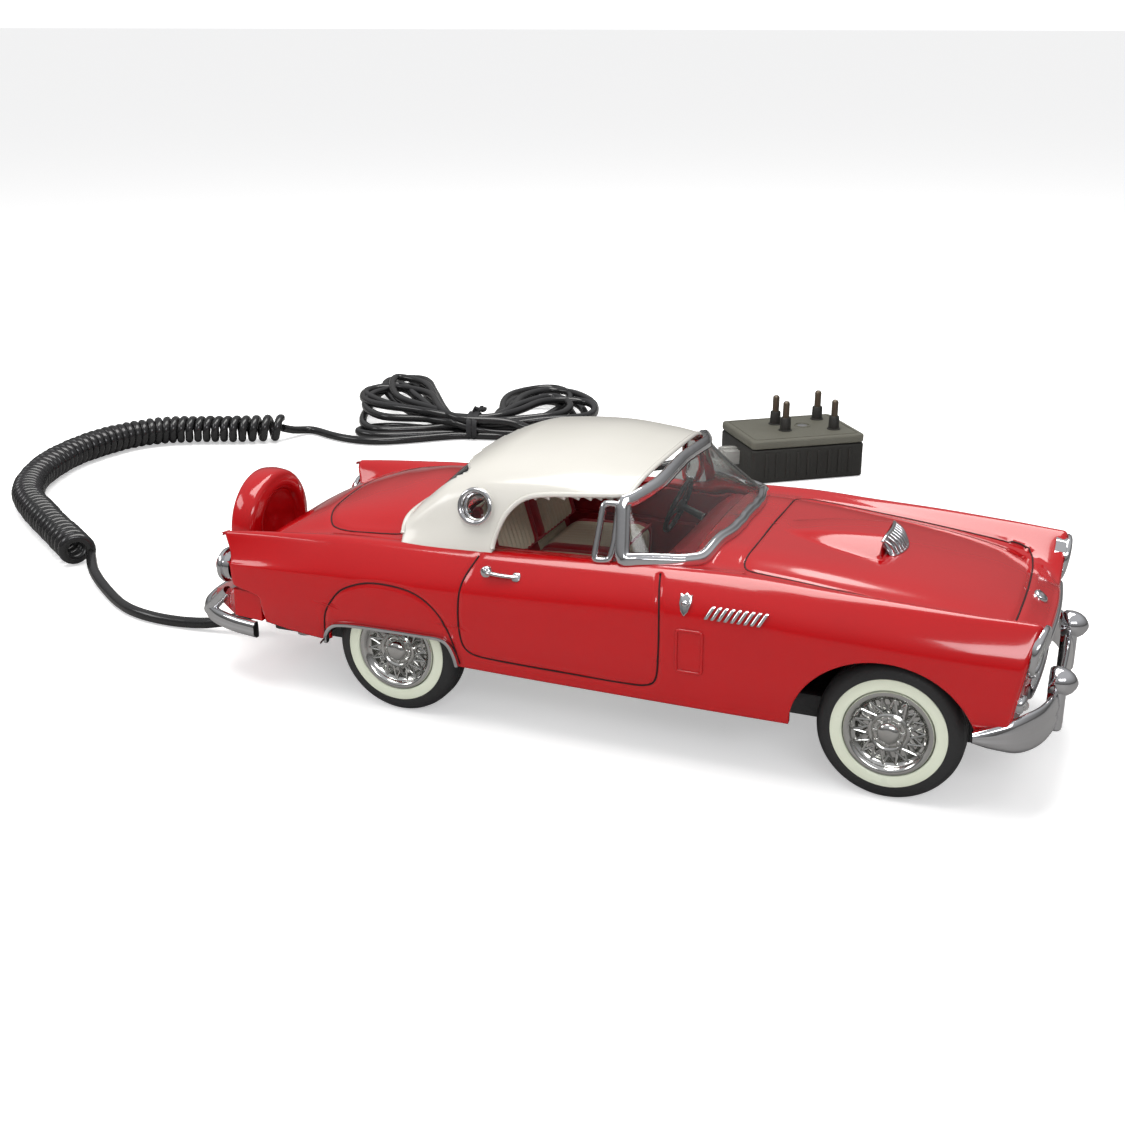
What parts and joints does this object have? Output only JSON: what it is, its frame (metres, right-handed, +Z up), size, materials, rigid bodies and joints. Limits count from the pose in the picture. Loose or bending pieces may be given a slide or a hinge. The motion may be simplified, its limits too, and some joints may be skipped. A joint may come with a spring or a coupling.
{
  "type": "novelty shaped telephone",
  "caption": "One-piece telephone shaped as a two-seat finned hardtop car with its keypad underneath, a coiled cord, a tied hank of line cord and a wall plug adapter",
  "frame": {"origin": "on the table under the middle of the wheelbase, at the foot of the hook plunger", "axes": "+X towards the car's nose, +Y to the driver's side, +Z up"},
  "size_m": [0.4546, 0.3816, 0.0805],
  "materials": {
    "body_paint": "deep red gloss",
    "roof_paint": "warm grey-white gloss",
    "glazing": "clear moulded pane",
    "chrome": "bright plated plastic",
    "cabin_trim": "satin red",
    "seat_vinyl": "soft satin cream",
    "cabin_dark": "satin black",
    "lamp_glass": "clear fluted lens",
    "tail_red": "clear red lens",
    "pan_black": "fine matt texture",
    "mat_rubber": "soft silicone",
    "board": "green board with solder mask",
    "works_black": "matt black",
    "hook_ivory": "satin ivory",
    "knob_black": "ribbed satin black",
    "ballast_iron": "as cast",
    "screw_steel": "zinc plated",
    "tyre": "satin black",
    "whitewall": "greenish cream",
    "wheel_chrome": "bright plated plastic",
    "cord_black": "soft glossy vinyl",
    "tie_black": "paper-covered wire",
    "plug_clear": "clear moulded plug",
    "adapter_black": "fine matt texture",
    "adapter_olive": "dusty olive grey",
    "pin_metal": "plated pins in black sleeves",
    "key_ivory": "satin with printed characters"
  },
  "bodies": {
    "handset": {"body_shell": "body_paint", "scoop_grille": "chrome", "tail_valance": "body_paint", "spare_wheel_cover": "body_paint", "hardtop": "roof_paint", "porthole_rims": "chrome", "vent_window_frames": "chrome", "cabin_windows": "glazing", "windshield": "glazing", "windshield_frame": "chrome", "interior_tub": "cabin_trim", "seat": "seat_vinyl", "steering_wheel": "cabin_dark", "grille": "chrome", "lamp_bezels": "chrome", "front_lamp_lenses": "lamp_glass", "tail_lamp_lenses": "tail_red", "front_bumper": "chrome", "rear_bumper": "chrome", "fender_trims": "chrome", "door_handles": "chrome", "skirt_trims": "chrome", "chassis_pan": "pan_black", "keypad_mat": "mat_rubber", "circuit_board": "board", "receiver": "works_black", "microphone": "works_black", "hook_switch": "works_black", "ballast": "ballast_iron", "case_screws": "screw_steel", "coil_cord": "cord_black", "line_cord": "cord_black", "cord_tie": "tie_black", "modular_plug": "plug_clear"},
    "front_wheels": {"front_axle": "screw_steel", "front_tyres": "tyre", "front_whitewalls": "whitewall", "front_wheel_covers": "wheel_chrome"},
    "rear_wheels": {"rear_axle": "screw_steel", "rear_tyres": "tyre", "rear_whitewalls": "whitewall", "rear_wheel_covers": "wheel_chrome"},
    "plunger": {"hook_plunger": "hook_ivory"},
    "ringer_slide": {"ringer_knob": "knob_black"},
    "dial_mode_slide": {"dial_mode_knob": "knob_black"},
    "adapter": {"adapter_case": "adapter_black", "adapter_cover": "adapter_olive", "adapter_pins": "pin_metal"},
    "key_1_body": {"key_1": "key_ivory"},
    "key_2_body": {"key_2": "key_ivory"},
    "key_3_body": {"key_3": "key_ivory"},
    "key_4_body": {"key_4": "key_ivory"},
    "key_5_body": {"key_5": "key_ivory"},
    "key_6_body": {"key_6": "key_ivory"},
    "key_7_body": {"key_7": "key_ivory"},
    "key_8_body": {"key_8": "key_ivory"},
    "key_9_body": {"key_9": "key_ivory"},
    "key_star_body": {"key_star": "key_ivory"},
    "key_0_body": {"key_0": "key_ivory"},
    "key_hash_body": {"key_hash": "key_ivory"}
  },
  "joints": [
    {"name": "front_axle_spin", "type": "hinge", "parent": "handset", "child": "front_wheels", "pos_m": [0.072, 0, 0.0195], "axis": [0, 1, 0], "continuous": true},
    {"name": "rear_axle_spin", "type": "hinge", "parent": "handset", "child": "rear_wheels", "pos_m": [-0.072, 0, 0.0195], "axis": [0, 1, 0], "continuous": true},
    {"name": "hook_travel", "type": "slide", "parent": "handset", "child": "plunger", "axis": [0, 0, -1], "range_m": [0, 0.003]},
    {"name": "ringer_switch", "type": "slide", "parent": "handset", "child": "ringer_slide", "axis": [1, 0, 0], "range_m": [-0.0015, 0.0015]},
    {"name": "dial_mode_switch", "type": "slide", "parent": "handset", "child": "dial_mode_slide", "axis": [1, 0, 0], "range_m": [-0.0015, 0.0015]},
    {"name": "adapter_unplug", "type": "slide", "parent": "handset", "child": "adapter", "axis": [0.7986, 0.6018, 0], "range_m": [0, 0.015]},
    {"name": "key_1_press", "type": "slide", "parent": "handset", "child": "key_1_body", "axis": [0, 0, 1], "range_m": [0, 0.001]},
    {"name": "key_2_press", "type": "slide", "parent": "handset", "child": "key_2_body", "axis": [0, 0, 1], "range_m": [0, 0.001]},
    {"name": "key_3_press", "type": "slide", "parent": "handset", "child": "key_3_body", "axis": [0, 0, 1], "range_m": [0, 0.001]},
    {"name": "key_4_press", "type": "slide", "parent": "handset", "child": "key_4_body", "axis": [0, 0, 1], "range_m": [0, 0.001]},
    {"name": "key_5_press", "type": "slide", "parent": "handset", "child": "key_5_body", "axis": [0, 0, 1], "range_m": [0, 0.001]},
    {"name": "key_6_press", "type": "slide", "parent": "handset", "child": "key_6_body", "axis": [0, 0, 1], "range_m": [0, 0.001]},
    {"name": "key_7_press", "type": "slide", "parent": "handset", "child": "key_7_body", "axis": [0, 0, 1], "range_m": [0, 0.001]},
    {"name": "key_8_press", "type": "slide", "parent": "handset", "child": "key_8_body", "axis": [0, 0, 1], "range_m": [0, 0.001]},
    {"name": "key_9_press", "type": "slide", "parent": "handset", "child": "key_9_body", "axis": [0, 0, 1], "range_m": [0, 0.001]},
    {"name": "key_star_press", "type": "slide", "parent": "handset", "child": "key_star_body", "axis": [0, 0, 1], "range_m": [0, 0.001]},
    {"name": "key_0_press", "type": "slide", "parent": "handset", "child": "key_0_body", "axis": [0, 0, 1], "range_m": [0, 0.001]},
    {"name": "key_hash_press", "type": "slide", "parent": "handset", "child": "key_hash_body", "axis": [0, 0, 1], "range_m": [0, 0.001]}
  ]
}
